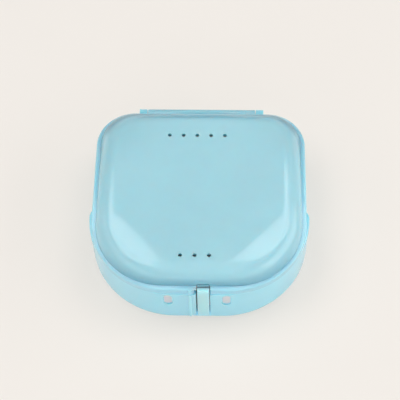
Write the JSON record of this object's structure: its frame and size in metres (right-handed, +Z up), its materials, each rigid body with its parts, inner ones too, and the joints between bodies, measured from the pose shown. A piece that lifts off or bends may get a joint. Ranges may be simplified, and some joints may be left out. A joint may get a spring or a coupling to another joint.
{
  "type": "denture case",
  "caption": "Shallow moulded denture case with a domed, vented lid on a pinned rear hinge, a sprung front latch tongue and a removable drain tray.",
  "frame": {"origin": "middle of the whole case's box, on the table under it", "axes": "+Z up, +X to the right as the latch is faced, -Y to the front where the latch is, hinge at +Y"},
  "size_m": [0.0834, 0.0826, 0.0282],
  "materials": {
    "case_plastic": "glossy moulded plastic, pale aqua blue",
    "tray_plastic": "smooth moulded plastic, white",
    "hinge_steel": "drawn stainless wire"
  },
  "bodies": {
    "base": {"base_shell": "case_plastic", "hinge_pin": "hinge_steel", "drain_tray": "tray_plastic"},
    "lid": {"lid_shell": "case_plastic"},
    "latch": {"latch_tongue": "case_plastic"}
  },
  "joints": [
    {"name": "lid_hinge", "type": "hinge", "parent": "base", "child": "lid", "pos_m": [0, 0.03975, 0.019], "axis": [-1, 0, 0], "range_deg": [0, 180]},
    {"name": "latch_flex", "type": "hinge", "parent": "base", "child": "latch", "pos_m": [0.0021, -0.04018, 0.00256], "axis": [1, 0, 0], "range_deg": [0, 7], "stiffness_Nm_per_rad": 0.26}
  ]
}
